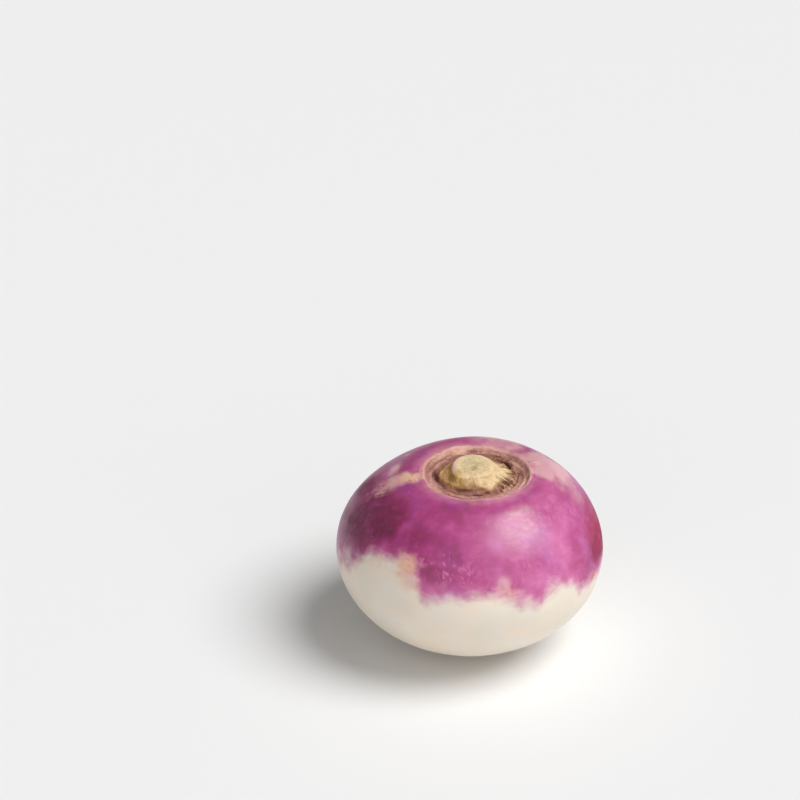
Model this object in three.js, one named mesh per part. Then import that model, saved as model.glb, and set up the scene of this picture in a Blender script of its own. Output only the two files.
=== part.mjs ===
// A purple-top turnip, trimmed at both ends: one swollen root, standing on the flat where its taproot was
// cut off. Its crown is a shallow dish inside a raised lip of skin. Two rings of old leaf bases lie in the
// dish, round the stub of the leaf stalks, which is cut across. It all grew as one piece, so it is one solid.
// Millimetres, +Z up, standing at z = 0 with the middle of its outline on the z axis.

import * as THREE from "three";

const TAU = 2 * Math.PI;

// The root: a flattened spheroid.
const WIDTH = 86;
const HALF_HEIGHT = 32.2; // from the widest level to either pole, before the crown and the root cut
const LOBES = [
  // slow waves round the root: how many, their height as a share of the radius, and where they start
  { count: 2, share: 0.006, start: 0.4 },
  { count: 3, share: 0.006, start: 2.1 },
  { count: 5, share: 0.003, start: 4.4 },
];

// The crown, whose middle is a little off the root's own axis.
const CROWN_MIDDLE = 2.1; // along x
const CROWN_LEVEL = 27.2; // height of the flattened top above the widest level
const FLAT_FROM = 29; // radius where the flattening starts
const FLAT_TO = 14; // radius where it is complete
const LIP_RADIUS = 17.3;
// From the middle of the cut stub out to the skin: radius, and height over the crown's level.
const CROWN_PROFILE = [
  [0, 2.75],
  [2.4, 2.9],
  [4.6, 2.9],
  [5.7, 2.65],
  [6.5, 2.1], // the stub's rounded edge
  [7.2, 1.35],
  [8.2, 0.6],
  [9.5, 0], // its foot
  [10.8, -0.35],
  [11.6, -0.7], // the edge of the inner leaf bases
  [12.2, -1.3], // the crevice under them
  [12.9, -1.45],
  [13.6, -1.1],
  [14.7, -0.85], // the outer leaf bases
  [15.7, -0.85],
  [16.3, -0.6],
  [16.8, 0],
  [17.3, 0.35], // the lip
  [18.1, 0.22],
  [19.6, 0],
];
const STUB_RADIUS = 6.5;
const STUB_SHIFT = { x: -1, from: 5.5, to: 11.5 }; // the stub stands to one side of the crown's middle
const STUB_TILT = 0.07; // the knife's cut isn't level: rise per mm towards the back
const BUTTRESSES = [
  // stalks that were cut lower, against the stub
  { turn: -0.12, width: 0.85, radius: 8.5, reach: 3, height: 1 },
  { turn: -1.45, width: 1, radius: 8.3, reach: 2.6, height: 0.8 },
];
// Each ring of leaf bases: its first and last one, counted out from the stub, and how far they bulge out.
const INNER_BASES = { first: 0, last: 6, radius: 11.8, bulge: 1.3, reach: 2.8 };
const OUTER_BASES = { first: 7, last: 16, radius: 16.2, bulge: 0.9, reach: 2.6 };
const INNER_SQUEEZE = { depth: 1.2, reach: 4.5 }; // the inner bases are narrower from front to back
const LIP_SQUEEZE = { depth: 1.3, reach: 4, turn: 1.22 }; // and the lip is drawn in, most at that turn
const BASE_WIDTH = 0.62; // half a leaf base's width round the crown, as an angle
const GOLDEN_ANGLE = Math.PI * (3 - Math.sqrt(5)); // from each leaf to the next
const CREVICE_RADIUS = 12.5;
const LIP_KNOB = { turn: 0.27, radius: 19.4, size: 1.3, height: 0.8 }; // a corky knob outside the lip

// The root end: it draws in to the taproot, which is cut off square.
const TAPROOT_LENGTH = 2.4; // how far the taproot's base stands out below the root
const TAPROOT_SPREAD = 7.5;
const CUT_ABOVE_TIP = 1.7; // the cut's height over the lowest point that the whole taproot's base would reach

const SEGMENTS = 96; // round the root
const CROWN_RINGS = 26;
const SHOULDER_RINGS = 9;
const SIDE_RINGS = 19;

// A draw between 0 and 1 that is always the same for the same number.
function draw(number) {
  const wave = Math.sin(number * 12.9898) * 43758.5453;
  return wave - Math.floor(wave);
}

// 1 at the middle, falling smoothly to 0 at that reach.
function bump(offset, reach) {
  const share = Math.min(Math.abs(offset) / reach, 1);
  return (1 - share * share) ** 2;
}

// A smooth curve through the profile's points: x is the radius and y the height.
const crownCurve = new THREE.CatmullRomCurve3(
  CROWN_PROFILE.map(([radius, height]) => new THREE.Vector3(radius, height, 0)),
  false,
  "centripetal",
);

// The angle from one turn to another, the short way round.
function turnBetween(from, to) {
  return Math.abs(((((to - from) % TAU) + TAU + Math.PI) % TAU) - Math.PI);
}

// How far the edge of a ring of leaf bases bulges out at that turn: they overlap, and the furthest out shows.
function leafBaseEdge({ first, last, bulge }, turn) {
  let edge = 0;
  for (let leaf = first; leaf <= last; leaf++) {
    const away = turnBetween(leaf * GOLDEN_ANGLE, turn) / (BASE_WIDTH * (0.8 + 0.4 * draw(leaf)));
    edge = Math.max(edge, bulge * (0.6 + 0.4 * draw(leaf + 40)) * (1 - away * away));
  }
  return edge;
}

// How far the stub's wall stands out of a round one at that turn: most at the back, with four soft corners.
function stubOutline(turn) {
  const corners = 0.4 + 0.25 * Math.max(0, Math.sin(turn)) - 0.14 * Math.cos(4 * turn);
  return corners + 0.12 * Math.sin(3 * turn + 2.2) + 0.08 * Math.sin(5 * turn + 1);
}

// One point of the crown, at a radius and height of its profile, before the crown is moved off the axis.
function crownPoint(radius, height, turn) {
  const ridges = [INNER_BASES, OUTER_BASES].map(
    (bases) => bump(radius - bases.radius, bases.reach) * (leafBaseEdge(bases, turn) - bases.bulge / 2),
  );
  const stubWave = bump(radius - STUB_RADIUS, 3.2) * stubOutline(turn);
  const innerSqueeze = bump(radius - INNER_BASES.radius, INNER_SQUEEZE.reach) * Math.sin(turn) ** 2;
  const lipSide = Math.max(0, Math.cos(turn - LIP_SQUEEZE.turn)) ** 2;
  const lipSqueeze = bump(radius - LIP_RADIUS, LIP_SQUEEZE.reach) * lipSide;
  const squeeze = INNER_SQUEEZE.depth * innerSqueeze + LIP_SQUEEZE.depth * lipSqueeze;
  const out = radius + ridges[0] + ridges[1] + stubWave - squeeze;
  const stub = THREE.MathUtils.smoothstep(STUB_RADIUS + 0.6 - radius, 0, 1);
  const cut = stub * STUB_TILT * out * Math.sin(turn);
  const buttresses = BUTTRESSES.map((stalk) => {
    const beside = bump(turnBetween(stalk.turn, turn), stalk.width);
    return stalk.height * beside * bump(radius - stalk.radius, stalk.reach);
  });
  const crevice = 0.45 * bump(radius - CREVICE_RADIUS, 1.6) * Math.sin(4 * turn + 1.3);
  const lip = 0.22 * bump(radius - LIP_RADIUS, 2) * (Math.sin(4 * turn + 0.4) + Math.sin(9 * turn + 2));
  return { out, height: height + cut + buttresses[0] + buttresses[1] + crevice + lip };
}

// Height of the flattened top, without the crown's own relief.
function topHeight(radius) {
  const plain = HALF_HEIGHT * Math.sqrt(Math.max(0, 1 - (2 * radius / WIDTH) ** 2));
  const flat = 1 - THREE.MathUtils.smoothstep(radius, FLAT_TO, FLAT_FROM);
  return THREE.MathUtils.lerp(plain, CROWN_LEVEL, flat);
}

// Height of the underside, which draws in to the taproot.
function undersideHeight(radius) {
  const plain = HALF_HEIGHT * Math.sqrt(Math.max(0, 1 - (2 * radius / WIDTH) ** 2));
  return -plain - TAPROOT_LENGTH * Math.exp(-((radius / TAPROOT_SPREAD) ** 2));
}

const CUT_HEIGHT = undersideHeight(0) + CUT_ABOVE_TIP;

// The radius at which the underside meets the root cut.
function cutRadius() {
  let inside = 0;
  let outside = WIDTH / 4;
  while (outside - inside > 1e-4) {
    const middle = (inside + outside) / 2;
    if (undersideHeight(middle) < CUT_HEIGHT) inside = middle;
    else outside = middle;
  }
  return outside;
}

// The profile from the crown's middle to the edge of the root cut, as rings of a radius and a height.
function profileRings() {
  const rings = [];
  for (let i = 1; i <= CROWN_RINGS; i++) {
    const { x, y } = crownCurve.getPoint(i / CROWN_RINGS);
    rings.push({ radius: x, height: topHeight(x) + y, crown: true });
  }
  const crownEnd = CROWN_PROFILE.at(-1)[0];
  const shoulderEnd = 0.72 * (WIDTH / 2);
  for (let i = 1; i <= SHOULDER_RINGS; i++) {
    const radius = THREE.MathUtils.lerp(crownEnd, shoulderEnd, i / SHOULDER_RINGS);
    rings.push({ radius, height: topHeight(radius) });
  }
  const from = Math.asin((2 * shoulderEnd) / WIDTH);
  const to = Math.PI - Math.asin((2 * cutRadius()) / WIDTH);
  for (let i = 1; i <= SIDE_RINGS; i++) {
    const polar = THREE.MathUtils.lerp(from, to, i / SIDE_RINGS);
    const radius = (WIDTH / 2) * Math.sin(polar);
    const height = polar < Math.PI / 2 ? topHeight(radius) : undersideHeight(radius);
    rings.push({ radius, height });
  }
  return rings;
}

// A point of the skin, in its place.
function skinPoint(ring, turn) {
  const plain = { out: ring.radius, height: ring.height };
  const { out, height } = ring.crown ? crownPoint(ring.radius, ring.height, turn) : plain;
  const fullness = (2 * ring.radius / WIDTH) ** 2;
  const lobe = LOBES.reduce((sum, wave) => sum + wave.share * Math.cos(wave.count * turn + wave.start), 0);
  const reach = out * (1 + fullness * lobe);
  const offAxis = ring.height > 0 ? 1 - THREE.MathUtils.smoothstep(ring.radius, LIP_RADIUS, WIDTH / 2) : 0;
  const onStub = ring.crown ? 1 - THREE.MathUtils.smoothstep(ring.radius, STUB_SHIFT.from, STUB_SHIFT.to) : 0;
  const knobTurn = (turn - LIP_KNOB.turn) * LIP_KNOB.radius;
  const knobAway = Math.hypot(knobTurn, ring.radius - LIP_KNOB.radius);
  const knob = ring.height > 0 ? LIP_KNOB.height * Math.exp(-((knobAway / LIP_KNOB.size) ** 2)) : 0;
  return new THREE.Vector3(
    reach * Math.cos(turn) + CROWN_MIDDLE * offAxis + STUB_SHIFT.x * onStub,
    reach * Math.sin(turn),
    height + knob - CUT_HEIGHT,
  );
}

// The closed skin: rings of points, closed by one point in the middle of the stub and one in the root cut.
function turnipGeometry() {
  const rings = profileRings();
  const middle = crownCurve.getPoint(0);
  const points = [new THREE.Vector3(CROWN_MIDDLE + STUB_SHIFT.x, 0, topHeight(0) + middle.y - CUT_HEIGHT)];
  for (const ring of rings) {
    for (let i = 0; i < SEGMENTS; i++) points.push(skinPoint(ring, (i / SEGMENTS) * TAU));
  }
  const bottom = points.push(new THREE.Vector3(0, 0, 0)) - 1;

  const at = (ring, i) => 1 + ring * SEGMENTS + (i % SEGMENTS);
  const triangles = [];
  for (let i = 0; i < SEGMENTS; i++) {
    triangles.push(0, at(0, i), at(0, i + 1));
    for (let ring = 0; ring < rings.length - 1; ring++) {
      triangles.push(at(ring, i), at(ring + 1, i), at(ring + 1, i + 1));
      triangles.push(at(ring, i), at(ring + 1, i + 1), at(ring, i + 1));
    }
    triangles.push(at(rings.length - 1, i), bottom, at(rings.length - 1, i + 1));
  }
  const geometry = new THREE.BufferGeometry().setFromPoints(points).setIndex(triangles);
  geometry.computeVertexNormals();
  geometry.computeBoundingBox();
  const centre = geometry.boundingBox.getCenter(new THREE.Vector3());
  return geometry.translate(-centre.x, -centre.y, 0);
}

const skin = new THREE.MeshStandardMaterial({ color: 0xa8518c, roughness: 0.42, metalness: 0 });
const turnip = new THREE.Mesh(turnipGeometry(), skin);
turnip.name = "turnip";

const group = new THREE.Group();
group.add(turnip);
export default group;
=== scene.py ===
# The looks of a purple-top turnip, trimmed at crown and root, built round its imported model.
# Lengths are in millimetres and go to Blender in metres. The turnip stands on a flat at z = 0, but its
# form is worked out from its widest level. A turn is an angle round the upright axis from +X, as in the
# model. A bearing is the same angle in degrees from the front, positive to the viewer's right. A polar
# angle, in degrees, runs down the skin from 0 at the crown to 180 at the root.
# Unless a name or a comment says otherwise, something begins or ends between the two numbers of a pair,
# and three numbers are a hump: its middle, its reach to either side, and its height or strength.

import math

import bpy
import numpy as np
from mathutils import Euler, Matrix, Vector


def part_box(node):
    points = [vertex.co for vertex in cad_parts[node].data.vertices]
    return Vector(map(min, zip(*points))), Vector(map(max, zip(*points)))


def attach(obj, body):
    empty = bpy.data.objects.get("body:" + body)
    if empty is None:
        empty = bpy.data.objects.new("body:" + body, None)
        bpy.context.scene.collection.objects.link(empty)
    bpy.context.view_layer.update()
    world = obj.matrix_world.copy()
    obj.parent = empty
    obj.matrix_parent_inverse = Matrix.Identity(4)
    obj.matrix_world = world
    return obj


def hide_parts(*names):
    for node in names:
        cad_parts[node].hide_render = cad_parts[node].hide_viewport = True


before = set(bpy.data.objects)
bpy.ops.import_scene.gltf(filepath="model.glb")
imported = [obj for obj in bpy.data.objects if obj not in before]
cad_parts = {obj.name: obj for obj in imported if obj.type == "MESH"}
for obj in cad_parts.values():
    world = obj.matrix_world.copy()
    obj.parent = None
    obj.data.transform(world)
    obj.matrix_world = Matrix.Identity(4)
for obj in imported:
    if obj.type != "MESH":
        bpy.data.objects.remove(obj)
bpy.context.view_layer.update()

MM = 0.001
TAU = 2 * math.pi

# ---- the photograph's view ----

IMAGE_SIZE = 800
TURNIP_PIXEL = (469.4, 544.4)  # the middle of the turnip's outline
PIXELS_PER_MM = 3.084
VIEW_ELEVATION = 32.0
VIEW_DISTANCE = 900.0
SENSOR = 36.0

# ---- the form, as in the model ----

# The root, a flattened spheroid.
WIDTH = 86.0
HALF_WIDTH = WIDTH / 2
HALF_HEIGHT = 32.2
LOBES = ((2, 0.006, 0.4), (3, 0.006, 2.1), (5, 0.003, 4.4))  # count, share of the radius, start

# The crown, its middle a little off the root's axis.
CROWN_MIDDLE = 2.1  # along x
CROWN_LEVEL = 27.2
FLAT_TOP_END = (14.0, 29.0)
LIP_RADIUS = 17.3
LIP_WAVES = (LIP_RADIUS, 2.0, 0.22)
# From the middle of the stub out to the skin: radius, and height over the crown's level.
CROWN_PROFILE = (
    (0, 2.75), (2.4, 2.9), (4.6, 2.9), (5.7, 2.65), (6.5, 2.1), (7.2, 1.35), (8.2, 0.6), (9.5, 0),
    (10.8, -0.35), (11.6, -0.7), (12.2, -1.3), (12.9, -1.45), (13.6, -1.1), (14.7, -0.85),
    (15.7, -0.85), (16.3, -0.6), (16.8, 0), (17.3, 0.35), (18.1, 0.22), (19.6, 0),
)
STUB_RADIUS = 6.5
STUB_OUTLINE_REACH = 3.2
STUB_TILT = 0.07  # the cut's rise per millimetre towards the back
STUB_TILT_REACH = 0.6
STUB_SHIFT = -1.0  # the stub stands to one side of the crown's middle
STUB_SHIFT_END = (5.5, 11.5)
BUTTRESSES = (  # stalks that were cut lower: turn, width, radius, reach, height
    (-0.12, 0.85, 8.5, 3.0, 1.0),
    (-1.45, 1.0, 8.3, 2.6, 0.8),
)
INNER_BASES = (range(0, 7), 11.8, 1.3, 2.8)  # the leaves, their edge's radius, its bulge and its reach
OUTER_BASES = (range(7, 17), 16.2, 0.9, 2.6)
INNER_SQUEEZE = 1.2  # the inner bases are narrower from front to back
INNER_SQUEEZE_REACH = 4.5
LIP_SQUEEZE = (LIP_RADIUS, 4.0, 1.3)  # the lip is pressed in, most at that turn
LIP_SQUEEZE_TURN = 1.22
BASE_WIDTH = 0.62  # half a leaf base's width, as an angle
GOLDEN_ANGLE = math.pi * (3 - math.sqrt(5))  # from each leaf to the next
CREVICE_WAVES = (12.5, 1.6, 0.45)
KNOB_TURN = 0.27  # a corky knob outside the lip
KNOB_RADIUS = 19.4
KNOB_SIZE = 1.3
KNOB_HEIGHT = 0.8

# The root end.
TAPROOT_LENGTH = 2.4
TAPROOT_SPREAD = 7.5
CUT_ABOVE_TIP = 1.7  # over the lowest point of the taproot as it grew

# ---- the fine mesh ----

MERIDIANS = 400
CROWN_RINGS = 112
BODY_RINGS = 122
CUT_RINGS = 11
CURVE_STEPS = 40  # between two points of the crown's profile
SEARCH_STEPS = 4001  # down the skin, to space its rings evenly
CUT_SEARCH_STEPS = 20001  # out along the underside, to find the root cut
INSIDE_BOX = 0.9999  # keeps the fine mesh just inside the model's box

# ---- fine relief ----

UNEVENNESS = 0.14
EVEN_BY_CUT = 3.0  # how far from the root cut the skin becomes uneven
GROWTH_RING_HEIGHT = 0.045
SHOULDER_START = (17.5, 19)
SHOULDER_END = (24, 38)
WRINKLE_HEIGHT = 0.16
WRINKLES_START = 2.0  # how far from the root cut the wrinkles are at their full height
WRINKLES_END = (8, 19)
ROOT_GRAIN_HEIGHT = 0.1

# Two rows of scars low on the sides, where side roots broke off.
SCAR_ROW_TURNS = (0.1, math.pi + 0.25)
SCARS_IN_A_ROW = 7
SCAR_TURN_SPREAD = 0.35
FIRST_SCAR_POLAR = 128
SCAR_SPACING = 6.0
SCAR_POLAR_SPREAD = 2.5
SCAR_HALF_LENGTH = (1.0, 1.6)  # the least, and how much more it may be
SCAR_HALF_WIDTH = (0.28, 0.2)
SCAR_SOFTNESS = 1.8
SCAR_DEPTH = 0.22
SKIN_MM_PER_RADIAN = 38.0  # about how far down the skin a radian of the polar angle reaches

# Across the crown, by radius.
PITH_DIP = (0, 1.5, 0.25)
CUT_RIDGE = (4.9, 0.8, 0.12)
CUT_END = (STUB_RADIUS - 1.0, STUB_RADIUS - 0.1)
STUB_WALL = (8.0, 2.6, 1.0)
TERRACES_START = (8.2, 9.4)
TERRACES_END = (16.2, 17.0)
STRANDS_TURN = 0.05  # the side of the stub that breaks up into strands
STRANDS_WIDTH = 1.2
STRANDS = (10.8, 3.0, 1.0)
STRANDS_DEPTH = 0.1
INNER_CREVICE = (12.7, 1.0, 0.7)
OUTER_CREVICE = (15.3, 0.8, 0.4)
INNER_CREVICE_OPEN = (-0.2, 0.3)  # by the noise that breaks it up
OUTER_CREVICE_OPEN = (0.0, 0.35)
LIP_CREST = (17.1, 1.1, 1.0)
CROWN_RELIEF_END = (17.4, 19.2)
CROWN_COLOURS_END = (17.0, 17.9)
# How far each noise raises each of these.
CUT_TEXTURE = {"grain": 0.05, "spots": 0.12}
WALL_TEXTURE = {"fibres": 0.12, "strands": 0.25, "spots": 0.3}
TERRACE_TEXTURE = {"grain": 0.22, "fibres": 0.06, "cracks": 0.35, "spots": 0.3}
STRAND_TEXTURE = {"fibres": 0.5, "strands": 0.35}
LIP_TEXTURE = {"grain": 0.1, "broken": 0.25, "spots": 0.12}

# ---- markings on the skin, with some painted light ----

# The purple's lower edge, as a bearing and a polar angle, all the way round.
PURPLE_EDGE = (
    (-165, 84), (-140, 89), (-118, 83), (-100, 90), (-78, 87), (-63, 80), (-52, 69), (-43, 66),
    (-35, 63), (-26, 72), (-19, 82), (-8, 78.5), (4, 77), (10, 76.5), (16, 79.5), (23, 84.5),
    (30, 86), (38, 79.5), (46, 82), (54, 90), (66, 91), (80, 92), (100, 86), (122, 92), (145, 82),
    (168, 90),
)
# Soft patches: bearing, polar angle, half width and half height in degrees, and strength.
# Where the purple is darker, and where it is paler.
PLUM_PATCHES = (
    (-61, 50, 24, 11, 0.4), (-74, 63, 17, 14, 0.32), (-36, 51, 15, 8, 0.14), (-97, 53, 16, 9, 0.35),
    (-12, 61, 13, 12, 0.16), (-17, 67, 9, 6, 0.32), (62, 80, 10, 10, 0.12), (81, 79, 18, 9, 0.6),
    (104, 75, 16, 8, 0.3),
)
PALE_PATCHES = (
    (28, 29, 14, 4, 0.12), (64, 36, 16, 12, 0.08), (45, 58, 12, 10, 0.15), (38, 73, 18, 9, 0.12),
    (60, 49, 10, 6, 0.1),
)
# Where the skin is thin and its colour a warm pale pink. The patches at (33, 36) and (30, 43) also lay this
# pink over the spot where the key lamp's highlight falls: a painted highlight tint, at (33, 36) over a real
# pale patch.
BLUSH_AND_HIGHLIGHT_PATCHES = (
    (93, 31, 13, 8, 1.0), (101, 41, 19, 10, 1.0), (108, 33, 22, 12, 0.9), (89, 50, 10, 8, 0.42),
    (158, 30, 30, 7, 0.7), (33, 36, 12, 5, 0.35), (30, 43, 15, 9, 0.3), (14.5, 72, 4.5, 7, 0.65),
    (19, 79, 9, 4, 0.45), (-83, 36, 10, 7, 0.75), (-82, 43.5, 8, 4, 0.6),
    (-101, 37.5, 10, 3.5, 1.0), (-122, 37, 3.5, 1.6, 0.55), (-27, 68, 8, 9, 0.5),
    (105.5, 27, 4, 3, 1.0),
)
# Where the skin is dry and tan, like cork.
CORK_PATCHES = (
    (-79.5, 27, 9, 5, 1.25), (-82, 31.5, 8.5, 4.5, 1.05), (-81, 38.5, 8, 4, 0.45),
    (-84, 44, 8, 4, 0.3), (-30.5, 64.5, 5.5, 6, 1.15), (-32, 70, 5, 4, 0.75), (-29, 74, 7, 5, 0.5),
    (17, 76.5, 3, 2.5, 0.5), (63, 87.5, 4, 2.5, 0.45), (105.5, 27, 2, 1.5, 0.5),
)
# Where the purple is flecked with small pale curls.
FLECK_PATCHES = (
    (-12, 64, 17, 10, 1.2), (34, 68, 18, 9, 0.35), (8, 76, 20, 6, 0.5), (-60, 62, 18, 10, 0.3),
    (-83, 46, 14, 7, 1.4), (48, 44, 12, 6, 0.6), (67, 50, 8, 8, 0.6), (120, 60, 22, 12, 0.4),
    (-140, 60, 26, 12, 0.4),
)
# Where the purple turns to crimson.
RED_PATCHES = (
    (85, 62, 18, 5, 0.5), (82, 69, 19, 7, 0.75), (88, 75, 23, 8, 0.7), (78, 81, 18, 7, 0.65),
    (103, 69, 16, 6, 0.35), (111, 80, 22, 8, 0.45), (128, 83, 20, 9, 0.3), (-55, 42, 30, 9, 0.25),
    (-97, 51, 16, 9, 0.3), (-12, 36, 14, 4, 0.25), (62, 40, 16, 6, 0.15), (61, 74, 13, 9, 0.38),
    (62, 87, 10, 5, 0.3),
)
PATCH_EDGE = (0.35, 1.35)  # where a patch fades, in shares of its half width and half height
PATCH_RAGGED = 0.45
EDGE_RAGGED = 1.4  # how far the purple's lower edge wanders
SOFT_EDGE = (-78, 34, 0.5)  # the bearings where it fades over a wider band
PLAIN_DEPTH = 0.62  # how deep the purple is, away from any patch
DEPTH_WANDER = 0.12
# Where it is paler over a wide area: to the right and at the front, partly paler skin and partly painted
# light where the key lamp and its highlight fall, and on the shoulder.
PALE_AND_PAINTED_LIGHT_SIDE = (42, 60, 0.13)
PALE_AND_PAINTED_HIGHLIGHT_FRONT_BEARINGS = (0, 25, 0.06)
PALE_AND_PAINTED_HIGHLIGHT_FRONT_POLARS = (44, 14, 1.0)
LIGHT_SHOULDER_END = (18, 22.5)
LIGHT_SHOULDER_STRENGTH = 0.12
DUST_END = (17.5, 22.5)  # corky dust and a pale line lie just outside the lip
DUST_STRENGTH = 0.35
DUST_CELLS = (6, 6, 50)  # round the skin and down it
LIP_LINE = (17.9, 0.9, 0.5)
CORKY_SCARS = 0.9

# ---- colours of the crown ----

# From the cut outwards.
CUT_FLESH = (0.76, 0.58, 0.34)
CUT_GREEN = (0.66, 0.54, 0.30)
CUT_RIM = (0.92, 0.68, 0.50)
PITH = (0.42, 0.32, 0.14)
STUB_CREAM = (0.79, 0.59, 0.33)
OLIVE = (0.36, 0.21, 0.04)
OLIVE_TAN = (0.64, 0.405, 0.135)
TERRACE_TAN = (0.48, 0.25, 0.11)
BROWN = (0.22, 0.085, 0.04)
DARK_BROWN = (0.10, 0.022, 0.010)
MAUVE_BROWN = (0.36, 0.15, 0.12)
INNER_PINK = (0.58, 0.29, 0.25)
SLOPE_TAN = (0.72, 0.45, 0.32)
LIP_PINK = (0.74, 0.42, 0.38)
# Soft patches in the crown: turn in degrees, radius, half width in each of these, and strength.
CREAM_SPOTS = (
    (284, 7.8, 26, 1.4, 1.0), (258, 8.0, 22, 1.4, 0.7), (300, 8.6, 20, 1.7, 1.0),
    (-4, 7.4, 34, 2.2, 1.0), (325, 8.0, 26, 1.8, 1.0), (60, 7.4, 40, 1.4, 0.9),
    (295, 9.9, 9, 0.9, 0.8), (120, 7.8, 40, 1.3, 0.6),
)
OLIVE_TAN_SPOTS = (
    (229, 8.8, 14, 1.3, 1.0), (250, 8.6, 12, 1.1, 0.4), (176, 10.6, 14, 1.1, 0.9),
    (60, 11.0, 14, 0.9, 0.5),
)
OLIVE_SPOTS = (
    (206, 8.5, 16, 0.9, 1.0), (219, 8.2, 9, 0.8, 0.5), (175, 8.8, 16, 0.8, 0.7),
    (238, 7.7, 10, 0.8, 0.25), (205, 10.3, 9, 0.9, 0.6), (152, 9.0, 14, 1.1, 0.6),
    (262, 8.4, 6, 0.8, 0.5), (50, 7.0, 14, 0.8, 0.6),
)
MAUVE_SPOTS = ((259, 11.0, 18, 0.9, 0.9), (303, 11.1, 14, 0.9, 0.8), (222, 12.6, 12, 0.9, 0.6))
PINK_SPOTS = (
    (196, 15.2, 34, 1.3, 0.9), (245, 14.0, 22, 1.0, 0.9), (318, 14.6, 34, 1.4, 0.9),
    (275, 15.4, 34, 1.0, 0.5), (25, 15.6, 22, 1.2, 0.8), (62, 15.6, 22, 1.0, 0.9),
    (352, 12.9, 8, 0.7, 0.7), (353, 16.1, 13, 0.8, 0.8),
)
TAN_SPOTS = (
    (108, 15.8, 17, 1.3, 1.0), (130, 16.1, 22, 0.8, 0.6), (76, 14.2, 10, 0.8, 0.6),
    (28, 14.3, 12, 0.8, 0.6), (150, 14.0, 14, 0.8, 0.5), (85, 16.0, 26, 0.8, 0.6),
    (215, 15.8, 16, 0.8, 0.5), (225, 12.9, 8, 0.5, 0.5), (300, 12.4, 10, 0.5, 0.5),
    (22, 13.3, 5, 0.5, 0.8), (338, 15.9, 12, 0.7, 0.8),
)
BROWN_SPOTS = (
    (205, 12.0, 30, 0.9, 0.9), (250, 10.3, 26, 0.9, 1.0), (278, 10.0, 14, 0.8, 0.9),
    (250, 12.4, 26, 0.8, 0.7), (285, 11.4, 22, 0.9, 0.7), (325, 11.0, 24, 1.7, 0.9),
    (48, 11.6, 26, 2.4, 0.95), (0, 11.9, 24, 1.5, 0.9), (70, 13.4, 22, 1.2, 0.7),
    (144, 13.2, 20, 0.9, 0.5), (128, 15.3, 13, 0.5, 0.45), (262, 9.3, 8, 0.6, 0.5),
    (150, 15.0, 22, 0.9, 0.4), (168, 15.7, 14, 0.8, 0.5), (222, 13.4, 16, 0.8, 0.5),
)
DARK_SPOTS = (
    (177, 13.2, 18, 1.1, 1.0), (188, 12.9, 13, 0.9, 0.95), (214, 12.4, 10, 0.5, 0.5),
    (271, 12.2, 9, 0.65, 1.4), (289, 11.3, 5, 0.7, 1.0), (252, 10.1, 20, 0.35, 0.65),
    (40, 12.6, 15, 1.0, 1.0), (52, 11.2, 10, 0.8, 0.7), (16, 11.4, 7, 1.0, 0.8),
    (6, 11.8, 8, 0.8, 0.9), (346, 10.2, 9, 1.0, 1.0), (330, 10.9, 6, 1.0, 0.9),
    (317, 11.2, 6, 0.8, 0.8), (3, 13.8, 8, 0.6, 0.6), (93, 15.0, 8, 0.7, 0.5),
    (60, 14.2, 7, 0.5, 0.6),
)
# Each colour and its patches, the lowest first.
CROWN_PATCHES = (
    (INNER_PINK, PINK_SPOTS), (SLOPE_TAN, TAN_SPOTS), (STUB_CREAM, CREAM_SPOTS),
    (OLIVE_TAN, OLIVE_TAN_SPOTS), (OLIVE, OLIVE_SPOTS), (BROWN, BROWN_SPOTS),
    (MAUVE_BROWN, MAUVE_SPOTS), (DARK_BROWN, DARK_SPOTS),
)
TERRACE_COLOURS_END = (11.2, 12.6)
# Places in the crown: a turn, its reach and a hump of radii, or only a hump of turns.
CURLS = (math.radians(332), 0.75, (11.9, 2.2, 1.0))
COLOURED_STRANDS = (STRANDS_TURN, 1.1, (9.3, 2.8, 1.0))
NO_CREASE = (math.radians(340), 0.9, 1.0)
DULL_LIP = (math.radians(160), 0.7, 0.7)
OLIVE_RIM = (math.radians(214), 0.42, 0.8)
PALE_RIM_TURN = 2.4
CREASE = (15.9, 0.8, 1.0)
LIP_START = (16.2, 17.0)
STUB_WALL_START = (6.2, 7.4)
CUT_MIDDLE_X = -1.4
CUT_HALF_SIZES = (4.6, 5.7)  # along x and y
PITH_PLACE = (-0.6, -1.9)  # x and y
PITH_RING = (3.3, 0.7, 0.35)
PITH_END = (0.4, 1.8)

# ---- colours and patterns of the skin ----

# By how deep the colour is.
PURPLES = (
    (0.0, (0.70, 0.36, 0.50)), (0.25, (0.58, 0.15, 0.34)), (0.55, (0.43, 0.058, 0.215)),
    (0.8, (0.28, 0.026, 0.118)), (1.0, (0.165, 0.012, 0.062)),
)
VIOLETS = (
    (0.0, (0.66, 0.36, 0.58)), (0.25, (0.50, 0.16, 0.40)), (0.55, (0.36, 0.062, 0.27)),
    (0.8, (0.22, 0.032, 0.16)), (1.0, (0.13, 0.018, 0.085)),
)
CREAM = (0.78, 0.70, 0.60)
WARM_CREAM = (0.80, 0.68, 0.55)
GREY_CREAM = (0.70, 0.65, 0.55)
CORK_TAN = (0.76, 0.49, 0.31)
CORK_PINK = (0.66, 0.34, 0.29)
CRIMSON = (0.32, 0.010, 0.070)
# A warm pale pink: thin skin, and in two patches a painted highlight tint.
BLUSH_AND_HIGHLIGHT_PINK = (0.74, 0.43, 0.44)
CROWN_SHADES = ((0.3, (0.5, 0.4, 0.35)), (0.6, (1, 1, 1)))
ROOT_FLESH = ((0.3, (0.55, 0.42, 0.26)), (0.7, (0.74, 0.64, 0.46)))
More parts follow.
